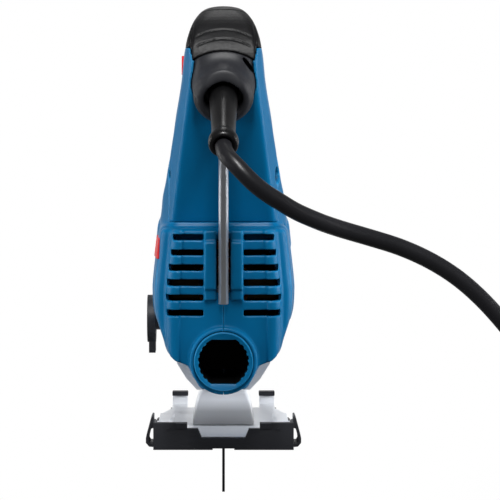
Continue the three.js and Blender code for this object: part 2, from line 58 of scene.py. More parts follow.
# =============================================================== camera
ELEV, DIST = math.radians(4.5), 1.150
TARGET = Vector((0.0, -0.060, 0.0981))
cam_data = bpy.data.cameras.new("camera")
cam_data.sensor_width = 36.0
cam_data.lens = 2360.0 / 500.0 * 36.0
cam_data.shift_x = 0.053
cam_data.clip_start, cam_data.clip_end = 0.05, 20.0
cam = bpy.data.objects.new("camera", cam_data)
bpy.context.scene.collection.objects.link(cam)
cam.location = TARGET + Vector((0, -math.cos(ELEV), math.sin(ELEV))) * DIST
cam.rotation_euler = (math.pi / 2 - ELEV, 0.0, 0.0)
bpy.context.scene.camera = cam
bpy.context.scene.view_settings.view_transform = "Standard"
bpy.context.scene.view_settings.look = "None"

COL = bpy.context.scene.collection


# =============================================================== materials
def mk(name):
    m = bpy.data.materials.new(name)
    m.use_nodes = True
    nt = m.node_tree
    nt.nodes.clear()
    out = nt.nodes.new("ShaderNodeOutputMaterial")
    b = nt.nodes.new("ShaderNodeBsdfPrincipled")
    nt.links.new(b.outputs[0], out.inputs[0])
    return m, nt, b


def nd(nt, kind, **kw):
    n = nt.nodes.new(kind)
    for k, v in kw.items():
        if k in n.bl_rna.properties.keys():
            setattr(n, k, v)
        else:
            n.inputs[k].default_value = v
    return n


def srgb(r, g, b):
    f = lambda c: (c / 255) / 12.92 if c / 255 <= 0.04045 else ((c / 255 + 0.055) / 1.055) ** 2.4
    return (f(r), f(g), f(b), 1.0)


def ramp(nt, src, stops, interp="LINEAR"):
    n = nt.nodes.new("ShaderNodeValToRGB")
    n.color_ramp.interpolation = interp
    while len(n.color_ramp.elements) < len(stops):
        n.color_ramp.elements.new(0.5)
    for e, (p, c) in zip(n.color_ramp.elements, stops):
        e.position = p
        e.color = c if len(c) == 4 else (*c, 1)
    nt.links.new(src, n.inputs[0])
    return n


def coords(nt, scale=(1, 1, 1)):
    tc = nt.nodes.new("ShaderNodeTexCoord")
    mp = nt.nodes.new("ShaderNodeMapping")
    mp.inputs["Scale"].default_value = scale
    nt.links.new(tc.outputs["Object"], mp.inputs["Vector"])
    return mp.outputs["Vector"]


def finish_material(nt, b, base, dark, rough, rough_var, grain, grain_h, spec=0.5, wear=None, dirt=0.0, stretch=(1, 1, 1), coat=0.0, metallic=0.0, sheen=0.0):
    """Base colour with slow mottling, grain bump, roughness variation and, when an edge colour is given, a painted
    highlight that lightens sharp edges in patches.
    """
    v = coords(nt, stretch)
    slow = nd(nt, "ShaderNodeTexNoise", Scale=38.0, Detail=3.0, Roughness=0.55)
    nt.links.new(v, slow.inputs["Vector"])
    c = ramp(nt, slow.outputs["Fac"], [(0.30, dark), (0.70, base)])
    col = c.outputs["Color"]
    fine = nd(nt, "ShaderNodeTexNoise", Scale=grain, Detail=2.0, Roughness=0.6)
    nt.links.new(v, fine.inputs["Vector"])
    if wear is not None:
        # painted highlight: where pointiness is high (sharp convex edges) the colour is lightened toward the given
        # light blue, in patches set by the slow noise
        geo = nt.nodes.new("ShaderNodeNewGeometry")
        w = ramp(nt, geo.outputs["Pointiness"], [(0.515, (0, 0, 0)), (0.575, (1, 1, 1))])
        mul = nd(nt, "ShaderNodeMath", operation="MULTIPLY")
        nt.links.new(w.outputs["Color"], mul.inputs[0])
        wn = ramp(nt, slow.outputs["Fac"], [(0.36, (0.15, 0.15, 0.15)), (0.60, (0.8, 0.8, 0.8))])
        nt.links.new(wn.outputs["Color"], mul.inputs[1])
        mix = nt.nodes.new("ShaderNodeMix")
        mix.data_type = "RGBA"
        nt.links.new(mul.outputs[0], mix.inputs[0])
        nt.links.new(col, mix.inputs[6])
        mix.inputs[7].default_value = wear
        col = mix.outputs[2]
    nt.links.new(col, b.inputs["Base Color"])
    mr = nd(nt, "ShaderNodeMapRange")
    mr.inputs["From Min"].default_value, mr.inputs["From Max"].default_value = 0.3, 0.7
    mr.inputs["To Min"].default_value, mr.inputs["To Max"].default_value = rough - rough_var, rough + rough_var
    nt.links.new(fine.outputs["Fac"], mr.inputs["Value"])
    nt.links.new(mr.outputs["Result"], b.inputs["Roughness"])
    bump = nd(nt, "ShaderNodeBump", Strength=1.0)
    bump.inputs["Distance"].default_value = grain_h
    nt.links.new(fine.outputs["Fac"], bump.inputs["Height"])
    nt.links.new(bump.outputs["Normal"], b.inputs["Normal"])
    b.inputs["Specular IOR Level"].default_value = spec
    b.inputs["Metallic"].default_value = metallic
    if coat:
        b.inputs["Coat Weight"].default_value = coat
        b.inputs["Coat Roughness"].default_value = 0.2


def plain(name, base, dark, rough, rough_var=0.05, grain=1800.0, grain_h=0.00003, **kw):
    m, nt, b = mk(name)
    finish_material(nt, b, base, dark, rough, rough_var, grain, grain_h, **kw)
    return m


# the lighter blue on the housing's sharp edges is a painted highlight
M_BLUE = plain("moulded_blue_plastic", srgb(0, 98, 146), srgb(0, 93, 139), 0.36, 0.04, 2200.0, 0.00003, spec=0.28, wear=srgb(50, 146, 200))
M_RUBBER = plain("soft_black_rubber", srgb(15, 15, 17), srgb(10, 10, 12), 0.46, 0.05, 1100.0, 0.00011, spec=0.42)
M_COLLAR = plain("satin_black_plastic", srgb(38, 39, 43), srgb(34, 35, 39), 0.48, 0.03, 2000.0, 0.00002, spec=0.6)
M_BLACK = plain("moulded_black_plastic", srgb(42, 43, 47), srgb(36, 37, 41), 0.48, 0.06, 1700.0, 0.00004)
# near-black copy of the black plastic: painted shade for the deep dust-port bore and the baffle at its end
M_DUCT = plain("black_plastic_painted_bore_shade", srgb(12, 12, 14), srgb(9, 9, 11), 0.6, 0.05, 1700.0, 0.00004, spec=0.2)
M_DARK = plain("oiled_dark_steel", srgb(46, 47, 50), srgb(34, 35, 38), 0.5, 0.05, 900.0, 0.000001, metallic=0.8)
# saddle zinc; further down, its colour gets a painted shade that darkens toward the foot of the arch
M_SADDLE = plain("zinc_with_painted_foot_shade", srgb(244, 247, 252), srgb(238, 241, 247), 0.32, 0.03, 700.0, 0.000001, metallic=0.12)
M_SLEEVE = plain("sleeve_rubber", srgb(14, 14, 15), srgb(11, 11, 12), 0.33, 0.02, 1600.0, 0.000004, spec=0.6)
M_CORD = plain("cord_jacket", srgb(27, 27, 30), srgb(23, 23, 26), 0.36, 0.03, 900.0, 0.00001, spec=0.6)
M_GREY = plain("grey_plastic", srgb(92, 95, 100), srgb(80, 83, 88), 0.5, 0.06)
M_RED = plain("red_plastic", srgb(206, 32, 36), srgb(190, 24, 30), 0.34, 0.04, 2000.0, 0.00002)
M_CAST = plain("cast_alloy", srgb(228, 231, 237), srgb(218, 221, 227), 0.44, 0.05, 1000.0, 0.000008, metallic=0.14)
M_ZINC = plain("zinc_plate", srgb(214, 219, 227), srgb(202, 207, 215), 0.30, 0.03, 900.0, 0.000002, metallic=0.55, stretch=(1, 0.25, 1))
M_SHEET = plain("plated_sheet_steel", srgb(240, 244, 250), srgb(230, 234, 241), 0.33, 0.04, 900.0, 0.000001, metallic=0.12, stretch=(1, 0.12, 1))
M_STEEL = plain("machined_steel", srgb(176, 180, 186), srgb(160, 164, 170), 0.28, 0.04, 900.0, 0.000001, metallic=1.0, stretch=(1, 0.3, 1))
M_KEY = plain("hex_key_steel", srgb(200, 204, 210), srgb(196, 200, 206), 0.30, 0.0, 400.0, 0.0, metallic=0.78)
M_BLADE = plain("blued_blade_steel", srgb(46, 47, 51), srgb(34, 35, 38), 0.38, 0.06, 1600.0, 0.00003, metallic=0.6, stretch=(1, 1, 0.2))
M_COPPER = plain("enamelled_copper", srgb(176, 96, 48), srgb(150, 78, 38), 0.32, 0.05, 900.0, 0.00008, metallic=0.8)
# brass kept dark, partly as tarnish and partly as painted shade for the brush holders and bushes deep inside the
# housing
M_BRASS = plain("brass", srgb(74, 62, 38), srgb(60, 50, 32), 0.4, 0.04, 900.0, 0.000001, metallic=0.95)
M_CARBON = plain("pressed_carbon", srgb(38, 38, 40), srgb(26, 26, 28), 0.75, 0.08, 1200.0, 0.00008)
M_GLASS, nt_, b_ = mk("clear_polycarbonate")
finish_material(nt_, b_, srgb(235, 242, 245), srgb(228, 238, 242), 0.08, 0.03, 500.0, 0.00001)
b_.inputs["Transmission Weight"].default_value = 0.9
b_.inputs["IOR"].default_value = 1.45


# =============================================================== mains cord
CORD_D = 7.7
COIL_C = (258.0, -100.0)
FZ = FLOOR * 1000
def catmull(pts, step):
    """Centripetal Catmull-Rom through pts, resampled at even spacing."""
    P = [np.array(p, float) for p in pts]
    P = [2 * P[0] - P[1]] + P + [2 * P[-1] - P[-2]]
    out = []
    for i in range(1, len(P) - 2):
        p0, p1, p2, p3 = P[i - 1], P[i], P[i + 1], P[i + 2]
        t0 = 0.0
        t1 = t0 + np.linalg.norm(p1 - p0) ** 0.5
        t2 = t1 + np.linalg.norm(p2 - p1) ** 0.5
        t3 = t2 + np.linalg.norm(p3 - p2) ** 0.5
        n = max(4, int(np.linalg.norm(p2 - p1) / 0.8))
        for t in np.linspace(t1, t2, n, endpoint=False):
            a1 = (t1 - t) / (t1 - t0) * p0 + (t - t0) / (t1 - t0) * p1
            a2 = (t2 - t) / (t2 - t1) * p1 + (t - t1) / (t2 - t1) * p2
            a3 = (t3 - t) / (t3 - t2) * p2 + (t - t2) / (t3 - t2) * p3
            b1 = (t2 - t) / (t2 - t0) * a1 + (t - t0) / (t2 - t0) * a2
            b2 = (t3 - t) / (t3 - t1) * a2 + (t - t1) / (t3 - t1) * a3
            out.append((t2 - t) / (t2 - t1) * b1 + (t - t1) / (t2 - t1) * b2)
    out.append(P[-2])
    out = np.array(out)
    s = np.concatenate([[0], np.cumsum(np.linalg.norm(np.diff(out, axis=0), axis=1))])
    q = np.linspace(0, s[-1], max(3, int(round(s[-1] / step)) + 1))
    return np.stack([np.interp(q, s, out[:, k]) for k in range(3)], axis=1)


def smooth01(x):
    x = np.clip(x, 0.0, 1.0)
    return x * x * (3 - 2 * x)


HEAD_PTS = [
    (0, -168.45, 152.45), (0.25, -172.8, 150.25), (1.9, -176.4, 147.7), (5.3, -179.4, 144.9), (8.0, -180.8, 141.8), (11.0, -181.2, 138.8),
    (13.8, -181, 135.9), (17.2, -180.4, 133.4), (20.5, -179.6, 130.9), (24.2, -178.4, 128.9), (27.5, -177, 126.6), (31.0, -175.4, 124.4),
    (34.8, -173.6, 122.5), (38.8, -171.6, 120.8), (42.8, -169.4, 118.9), (46.9, -167, 117.4), (51.0, -164.6, 115.9), (55.2, -162, 114.5),
    (66.5, -158.2, 111.0), (79, -155.4, 106.9), (92, -153.6, 101.0), (104.5, -152.6, 93.2), (116, -152.1, 83.2), (126.5, -151.9, 71.6),
    (136.5, -151.9, 59.0), (146, -151.9, 45.6), (155.5, -151.9, 31.8), (165.5, -151.9, 17.6), (176.5, -151.9, 3.4), (188.8, -151.9, -9.8),
    (201, -151.9, -21.2), (214, -151.9, -29.3), (228, -151.9, -33.4), (242, -151.9, -33.75),
]
RADII = [36.5, 44.2, 51.9]


def ease(t, a, b):
    return float(smooth01((t - a) / (b - a)))


def coil_point(t):
    """t counts turns from the point where the cord meets the coil."""
    r = 51.9 - 7.7 * ease(t, 0.92, 1.08) - 7.7 * ease(t, 1.92, 2.08) + 7.7 * ease(t, 3.92, 4.08) + 7.7 * ease(t, 4.92, 5.08) - 7.7 * ease(t, 5.92, 6.08)
    lev = ease(t, 2.72, 2.92) + ease(t, 5.72, 5.92) + ease(t, 6.98, 7.22)
    r += 19.0 * ease(t, 7.20, 7.56)
    a = -math.pi / 2 + 2 * math.pi * t
    return (COIL_C[0] + r * math.cos(a), COIL_C[1] + r * math.sin(a), FZ + CORD_D / 2 + CORD_D * lev)


coil_pts = [coil_point(t) for t in np.arange(0.02, 7.50, 1 / 48)]
TAIL = [(-15.2, 60.3, 26.4), (-24.5, 61.8, 24.2), (-34.6, 64.6, 20.2), (-43.9, 70.6, 14.6), (-50.4, 79.4, 9.2), (-53, 90, 5.4), (-52, 101, 4.2),
        (-47, 111, 5.4), (-39, 118.6, 8.6), (-29.5, 122.8, 11.8), (-21, 124, 13.2), (-16.2, 124, 13.4)]
tail_pts = [(COIL_C[0] + x, COIL_C[1] + y, FZ + z) for x, y, z in TAIL]
route = catmull(HEAD_PTS + coil_pts + tail_pts, 2.6)
for _ in range(3):
    route[1:-1] = 0.5 * route[1:-1] + 0.25 * (route[:-2] + route[2:])
route[:, 2] = np.maximum(route[:, 2], FZ + CORD_D / 2 + 0.02)
cu = bpy.data.curves.new("mains_cord", "CURVE")
cu.dimensions = "3D"
cu.bevel_depth = CORD_D / 2 * MM
cu.bevel_resolution = 5
cu.use_fill_caps = True
sp = cu.splines.new("POLY")
sp.points.add(len(route) - 1)
for pt, c in zip(sp.points, route):
    pt.co = (c[0] * MM, c[1] * MM, c[2] * MM, 1.0)
sp.use_smooth = True
cord = bpy.data.objects.new("mains_cord", cu)
COL.objects.link(cord)
cu.materials.append(M_CORD)
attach(cord, "housing")
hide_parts("cord", "cord_coil", "cord_tail")


# =============================================================== shape tools
def catmull2(pts, n=6, closed=True):
    P = np.array(pts, float)
    m = len(P)
    out = []
    for i in range(m if closed else m - 1):
        p0, p1, p2, p3 = P[(i - 1) % m], P[i % m], P[(i + 1) % m], P[(i + 2) % m]
        if not closed:
            p0 = P[max(i - 1, 0)]
            p3 = P[min(i + 2, m - 1)]
        d = [max(np.linalg.norm(b - a), 1e-6) ** 0.5 for a, b in ((p0, p1), (p1, p2), (p2, p3))]
        t1, t2, t3 = d[0], d[0] + d[1], d[0] + d[1] + d[2]
        for t in np.linspace(t1, t2, n, endpoint=False):
            a1 = (t1 - t) / t1 * p0 + t / t1 * p1
            a2 = (t2 - t) / (t2 - t1) * p1 + (t - t1) / (t2 - t1) * p2
            a3 = (t3 - t) / (t3 - t2) * p2 + (t - t2) / (t3 - t2) * p3
            b1 = (t2 - t) / t2 * a1 + t / t2 * a2
            b2 = (t3 - t) / (t3 - t1) * a2 + (t - t1) / (t3 - t1) * a3
            out.append((t2 - t) / (t2 - t1) * b1 + (t - t1) / (t2 - t1) * b2)
    if not closed:
        out.append(P[-1])
    return np.array(out)


def fillet(pts, r, n=5):
    """Round each corner of a closed outline; r is one radius or one for each corner."""
    P = np.array(pts, float)
    m = len(P)
    out = []
    for i in range(m):
        ri = r[i] if hasattr(r, "__len__") else r
        a, p, b = P[i - 1], P[i], P[(i + 1) % m]
        u, v = a - p, b - p
        lu, lv = np.linalg.norm(u), np.linalg.norm(v)
        d = min(ri, 0.48 * lu, 0.48 * lv)
        if d < 1e-3:
            out.append(p)
            continue
        s, e = p + u / lu * d, p + v / lv * d
        for t in np.linspace(0, 1, n):
            out.append((1 - t) ** 2 * s + 2 * t * (1 - t) * p + t * t * e)
    return np.array(out)


def sdf2(U, V, poly):
    """Signed distance to a closed outline on a grid, negative inside."""
    P = np.array(poly, float)
    d = np.full(U.shape, 1e9)
    inside = np.zeros(U.shape, bool)
    for i in range(len(P)):
        ax, ay = P[i - 1]
        bx, by = P[i]
        ex, ey = bx - ax, by - ay
        l2 = ex * ex + ey * ey
        if l2 < 1e-12:
            continue
        t = np.clip(((U - ax) * ex + (V - ay) * ey) / l2, 0, 1)
        d = np.minimum(d, (U - ax - t * ex) ** 2 + (V - ay - t * ey) ** 2)
        c = (ay > V) != (by > V)
        if abs(ey) > 1e-12:
            inside ^= c & (U < (V - ay) * ex / ey + ax)
    d = np.sqrt(d)
    return np.where(inside, -d, d)


def smax(a, b, k):
    h = np.maximum(k - np.abs(a - b), 0.0) / k
    return np.maximum(a, b) + h * h * k * 0.25


def smin(a, b, k):
    return -smax(-a, -b, k)


class Grid:
    def __init__(self, lo, hi, h):
        self.h, self.lo = h, np.array(lo, float)
        n = [int(math.ceil((b - a) / h)) + 1 for a, b in zip(lo, hi)]
        self.x, self.y, self.z = (self.lo[k] + h * np.arange(n[k]) for k in range(3))
        self.X, self.Y, self.Z = self.x[:, None, None], self.y[None, :, None], self.z[None, None, :]
        self.shape = tuple(n)

    def side(self, poly):
        U, V = np.meshgrid(self.y, self.z, indexing="ij")
        return sdf2(U, V, poly)[None, :, :]

    def rear(self, poly):
        U, V = np.meshgrid(self.x, self.z, indexing="ij")
        return sdf2(U, V, poly)[:, None, :]

    def plan(self, poly):
        U, V = np.meshgrid(self.x, self.y, indexing="ij")
        return sdf2(U, V, poly)[:, :, None]

    def mesh(self, F, name, mat, smooth=True):
        """Surface nets: one vertex in each cell that the surface crosses."""
        F = np.ascontiguousarray(np.broadcast_to(F, self.shape)).astype(np.float32)
        F = np.where(np.abs(F) < 1e-5, 1e-5, F)
        F[0], F[-1], F[:, 0], F[:, -1], F[:, :, 0], F[:, :, -1] = (np.maximum(f, 0.5) for f in (F[0], F[-1], F[:, 0], F[:, -1], F[:, :, 0], F[:, :, -1]))
        S = F < 0
        n = np.array(F.shape) - 1
        acc = np.zeros((*n, 3), np.float32)
        cnt = np.zeros(n, np.float32)
        for ax in range(3):
            o1, o2 = [k for k in range(3) if k != ax]
            for d1 in (0, 1):
                for d2 in (0, 1):
                    sl = [None] * 3
                    sl[o1] = slice(d1, d1 + n[o1])
                    sl[o2] = slice(d2, d2 + n[o2])
                    sl[ax] = slice(0, n[ax])
                    a = F[tuple(sl)]
                    sl[ax] = slice(1, 1 + n[ax])
                    b = F[tuple(sl)]
                    x = (a < 0) != (b < 0)
                    t = np.where(x, a / np.where(x, a - b, 1), 0)
                    p = [None] * 3
                    acc[..., ax] += t
                    acc[..., o1] += np.where(x, d1, 0)
                    acc[..., o2] += np.where(x, d2, 0)
                    cnt += x
        act = cnt > 0
        idx = np.full(n, -1, np.int64)
        ids = np.argwhere(act)
        idx[act] = np.arange(len(ids))
        co = (acc[act] / cnt[act][:, None] + ids) * self.h + self.lo
        quads = []
        for ax in range(3):
            o1, o2 = [(1, 2), (2, 0), (0, 1)][ax]
            sl0 = [slice(1, -1)] * 3
            sl0[ax] = slice(0, -1)
            sl1 = [slice(1, -1)] * 3
            sl1[ax] = slice(1, None)
            a, b = S[tuple(sl0)], S[tuple(sl1)]
            e = np.argwhere(a != b)
            if not len(e):
                continue
            flip = a[tuple(e.T)]
            off = np.ones(3, int)
            off[ax] = 0
            e = e + off
            q = []
            for s1, s2 in ((-1, -1), (0, -1), (0, 0), (-1, 0)):
                c = e.copy()
                c[:, o1] += s1
                c[:, o2] += s2
                q.append(idx[tuple(c.T)])
            q = np.stack(q, 1)
            q = np.where(flip[:, None], q, q[:, ::-1])
            quads.append(q)
        quads = np.concatenate(quads)
        return self.build(co, quads, name, mat, smooth)

    def build(self, co, quads, name, mat, smooth):
        me = bpy.data.meshes.new(name)
        me.vertices.add(len(co))
        me.vertices.foreach_set("co", (co * MM).astype(np.float32).ravel())
        me.loops.add(len(quads) * 4)
        me.loops.foreach_set("vertex_index", quads.astype(np.int32).ravel())
        me.polygons.add(len(quads))
        me.polygons.foreach_set("loop_start", np.arange(0, len(quads) * 4, 4, dtype=np.int32))
        me.polygons.foreach_set("loop_total", np.full(len(quads), 4, np.int32))
        me.update(calc_edges=True)
        me.validate()
        if smooth:
            me.polygons.foreach_set("use_smooth", np.ones(len(quads), bool))
        me.materials.append(mat)
        ob = bpy.data.objects.new(name, me)
        COL.objects.link(ob)
        return ob


def apply_mod(ob, kind, name="m", **kw):
    m = ob.modifiers.new(name, kind)
    for k, v in kw.items():
        setattr(m, k, v)
    dg = bpy.context.evaluated_depsgraph_get()
    me = bpy.data.meshes.new_from_object(ob.evaluated_get(dg))
    ob.modifiers.clear()
    old = ob.data
    ob.data = me
    if old.users == 0:
        bpy.data.meshes.remove(old)
    return ob


def boolean(ob, cutter, op="DIFFERENCE", solver="EXACT"):
    apply_mod(ob, "BOOLEAN", operation=op, object=cutter, solver=solver)
    return ob


def drop(*obs):
    for o in obs:
        bpy.data.objects.remove(o, do_unlink=True)


def from_bm(bm, name, mat, smooth_angle=35):
    me = bpy.data.meshes.new(name)
    bmesh.ops.recalc_face_normals(bm, faces=bm.faces)
    bm.to_mesh(me)
    bm.free()
    if mat:
        me.materials.append(mat)
    ob = bpy.data.objects.new(name, me)
    COL.objects.link(ob)
    shade(ob, smooth_angle)
    return ob


def shade(ob, angle=35):
    me = ob.data
    me.polygons.foreach_set("use_smooth", np.ones(len(me.polygons), bool))
    if angle is not None:
        me.set_sharp_from_angle(angle=math.radians(angle))
    me.update()


def prism(pts, lo, hi, axis, bm=None):
    """Closed prism in mm: axis x takes (y,z) points, y takes (x,z), z takes (x,y)."""
    own = bm is None
    bm = bm or bmesh.new()
    put = {"x": lambda u, v, w: (w, u, v), "y": lambda u, v, w: (u, w, v), "z": lambda u, v, w: (u, v, w)}[axis]
    a = [bm.verts.new(Vector(put(u, v, lo)) * MM) for u, v in pts]
    b = [bm.verts.new(Vector(put(u, v, hi)) * MM) for u, v in pts]
    m = len(pts)
    faces = [bm.faces.new(a), bm.faces.new(b)]
    for i in range(m):
        faces.append(bm.faces.new((a[i], a[(i + 1) % m], b[(i + 1) % m], b[i])))
    bmesh.ops.recalc_face_normals(bm, faces=faces)
    return bm


def soft_box(x0, x1, y0, y1, z0, z1, bm=None, r=0.0, axis="y", n=4):
    """A box whose edges along one axis are rounded."""
    r = min(r, 0.49 * min((z1 - z0), (x1 - x0)) if axis == "y" else r)
    if axis == "y":
        pts = fillet([(x0, z0), (x1, z0), (x1, z1), (x0, z1)], r, n) if r else [(x0, z0), (x1, z0), (x1, z1), (x0, z1)]
        return prism(pts, y0, y1, "y", bm)
    if axis == "x":
        pts = fillet([(y0, z0), (y1, z0), (y1, z1), (y0, z1)], r, n) if r else [(y0, z0), (y1, z0), (y1, z1), (y0, z1)]
        return prism(pts, x0, x1, "x", bm)
    pts = fillet([(x0, y0), (x1, y0), (x1, y1), (x0, y1)], r, n) if r else [(x0, y0), (x1, y0), (x1, y1), (x0, y1)]
    return prism(pts, z0, z1, "z", bm)


def lathe(profile, name, mat, seg=64, axis="y", centre=(0, 0, 0), tilt=0.0, angle=35):
    """profile: (radius, distance along the axis) in mm, closed on itself or on the axis."""
    bm = bmesh.new()
    rings = []
    for r, a in profile:
        if r < 1e-6:
            rings.append([bm.verts.new((0, a * MM, 0))])
        else:
            rings.append([bm.verts.new((r * MM * math.cos(2 * math.pi * i / seg), a * MM, r * MM * math.sin(2 * math.pi * i / seg))) for i in range(seg)])
    m = len(rings)
    closed = len(rings[0]) > 1 and len(rings[-1]) > 1
    for k in range(m if closed else m - 1):
        A, B = rings[k], rings[(k + 1) % m]
        for i in range(seg):
            j = (i + 1) % seg
            if len(A) == 1 and len(B) == 1:
                continue
            if len(A) == 1:
                bm.faces.new((A[0], B[j], B[i]))
            elif len(B) == 1:
                bm.faces.new((A[i], A[j], B[0]))
            else:
                bm.faces.new((A[i], A[j], B[j], B[i]))
    rot = {"y": Matrix.Rotation(tilt, 4, "X"), "x": Matrix.Rotation(-math.pi / 2, 4, "Z"), "z": Matrix.Rotation(math.pi / 2, 4, "X")}[axis]
    bmesh.ops.transform(bm, matrix=Matrix.Translation(Vector(centre) * MM) @ rot, verts=bm.verts)
    return from_bm(bm, name, mat, angle)


BODY = {}
for bname, info in (frame["bodies"].items() if isinstance(frame["bodies"], dict) else []):
    BODY[bname] = info


def put(ob, body, nodes=(), slot=None):
    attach(ob, body)
    if nodes:
        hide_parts(*nodes)
    return ob


def from_cad(node, name, mat, body, slot, bevel=0.5, segs=2, angle=32, smooth=35, replace=True, cutters=()):
    """A finished copy of a CAD node: clean faces, rounded edges, its own material."""
    src = frame["nodes"][node]
    bm = bmesh.new()
    bm.from_mesh(src.data)
    bmesh.ops.remove_doubles(bm, verts=bm.verts, dist=2e-6)
    bmesh.ops.dissolve_limit(bm, angle_limit=math.radians(1.5), verts=bm.verts, edges=bm.edges)
    ob = from_bm(bm, name, mat, None)
    for c in cutters:
        boolean(ob, c)
    if bevel:
        apply_mod(ob, "BEVEL", width=bevel * MM, segments=segs, limit_method="ANGLE", angle_limit=math.radians(angle), harden_normals=False, use_clamp_overlap=True)
    ob.data.materials.clear()
    ob.data.materials.append(mat)
    shade(ob, smooth)
    return put(ob, body, (node,) if replace else (), slot)


# =============================================================== housing form
SIDE = [
    (-104, 35), (-66, 33), (-28, 33), (-28, 47.4), (52, 47.4), (56.5, 56), (60, 72), (60.5, 92), (58, 118), (54, 140),
    (47, 162), (36, 182), (21, 197), (0, 208), (-28, 215), (-58, 217.4), (-88, 216.4), (-106, 208.8), (-116, 197),
    (-118.2, 186), (-113, 172.5), (-103, 148), (-89, 114), (-89, 112.2), (-104.8, 112.2), (-104.8, 60),
]
SIDE_R = [3, 2, 0.5, 0.5, 6, 8, 12, 12, 14, 14, 14, 14, 16, 18, 18, 18, 12, 8, 8, 6, 6, 10, 0.3, 0.3, 0.3, 10]
GRIP_GAP = [
    (-58, 124), (-50, 121), (-10, 119.5), (0, 120.5), (6, 125), (9.5, 134), (10, 148), (7, 158), (0, 166), (-12, 171.5),
    (-40, 174.5), (-66, 174), (-79, 169.5), (-83, 161), (-80, 152), (-70, 134),
]
REAR_R = [
    (11.4, 33), (13.6, 36), (16.3, 38.7), (16.9, 41.5), (23.0, 43.4), (26.6, 46.6), (30.0, 57.5), (32.7, 66), (34.1, 72), (34.6, 80),
    (34.6, 86), (33.8, 95), (32.2, 108), (30.2, 123), (25.9, 147), (22.3, 165), (19.7, 180), (18.2, 193.5), (16.3, 202.2), (13.5, 209.2), (8.9, 214.8), (4.2, 217.1),
]
side_poly = fillet(SIDE, SIDE_R, 6)
gap_poly = catmull2(GRIP_GAP, 5)
low_part = fillet([(0, 33)] + REAR_R[:6] + [(28.6, 49)], [0, 0.3, 1.5, 1, 1.2, 2, 2, 0], 4)
rear_right = np.concatenate([low_part[1:-1], catmull2(REAR_R[5:] + [(0, 217.7)], 5, closed=False)])
rear_poly = np.concatenate([rear_right, (rear_right * [-1, 1])[::-1]])
PLAN_LOW_R = [(20.6, -104.6), (24.6, -103.6), (26.6, -101.2), (27.2, -97.6), (28.3, -96.4), (31.0, -95.6), (32.6, -92.6), (34.2, -87), (34.8, -80), (34.8, -12), (33.4, 6), (30, 26), (25.5, 43), (19, 54.5), (11, 60.4), (0, 61.4)]
plan_right = np.concatenate([[(0, -104.7)], fillet(PLAN_LOW_R, [2, 2, 1.6, 0.4, 0.4, 1.6, 4, 4, 6, 10, 10, 10, 10, 8, 8, 0], 4)])
plan_low = np.concatenate([plan_right, (plan_right * [-1, 1])[::-1]])
PANEL = fillet([(-80, 75), (-76, 104), (-60, 113), (-6, 113), (4, 100), (4, 74), (-6, 63), (-70, 63)], [10, 12, 10, 10, 12, 12, 10, 10], 5)
CAP = [(-122, 194.4), (-108, 194.2), (-90, 195.0), (-70, 197), (-30, 197), (4, 190), (26, 176), (41, 152), (47.4, 132), (50.5, 118), (70, 112), (90, 112), (90, 240), (-135, 240), (-135, 194.4)]
cap_poly = fillet(CAP, [4, 10, 14, 14, 16, 16, 16, 16, 8, 8, 1, 1, 1, 1, 1], 5)

PAD = fillet([(-106, 200), (-101, 193), (-95, 184), (-52, 183.5), (-40, 190), (-30, 200)], [1, 6, 6, 8, 8, 1], 5)


def cap_field(g, hand=0):
    """Where the soft rubber lies: over the bow, with a thumb pad on the right flank."""
    ax = np.abs(g.X)
    drop_ = 0.021 * np.minimum(ax, 14.4) ** 2 * smooth01((15.2 - ax) / 1.2) - 1.8 * smooth01((ax - 14.4) / 1.2)
    c = g.side(cap_poly) - drop_ * smooth01((-98 - g.Y) / 6)
    pad = smin(c, g.side(PAD), 2.0)
    if hand:
        return pad if hand > 0 else c
    return np.where(g.X > 0, pad, c)


def rear_half(z):
    zz = rear_right[:, 1]
    o = np.argsort(zz)
    return np.interp(z, zz[o], rear_right[o, 0])


def scaled_plan(g, poly):
    base = np.broadcast_to(g.plan(poly), (len(g.x), len(g.y), 1))[:, :, 0]
    out = np.empty(g.shape)
    for k, z in enumerate(g.z):
        s = 1.0 if z < 82 else max(0.6, 1 - 0.0033 * (z - 82))
        i = (g.x / s - g.x[0]) / g.h
        i = np.clip(i, 0, len(g.x) - 1.001)
        i0 = i.astype(int)
        f = (i - i0)[:, None]
        v = base[i0] * (1 - f) + base[i0 + 1] * f
        over = np.maximum(np.abs(g.x) / s - abs(g.x[-1]), 0)[:, None]
        out[:, :, k] = (v + over) * s
    return out


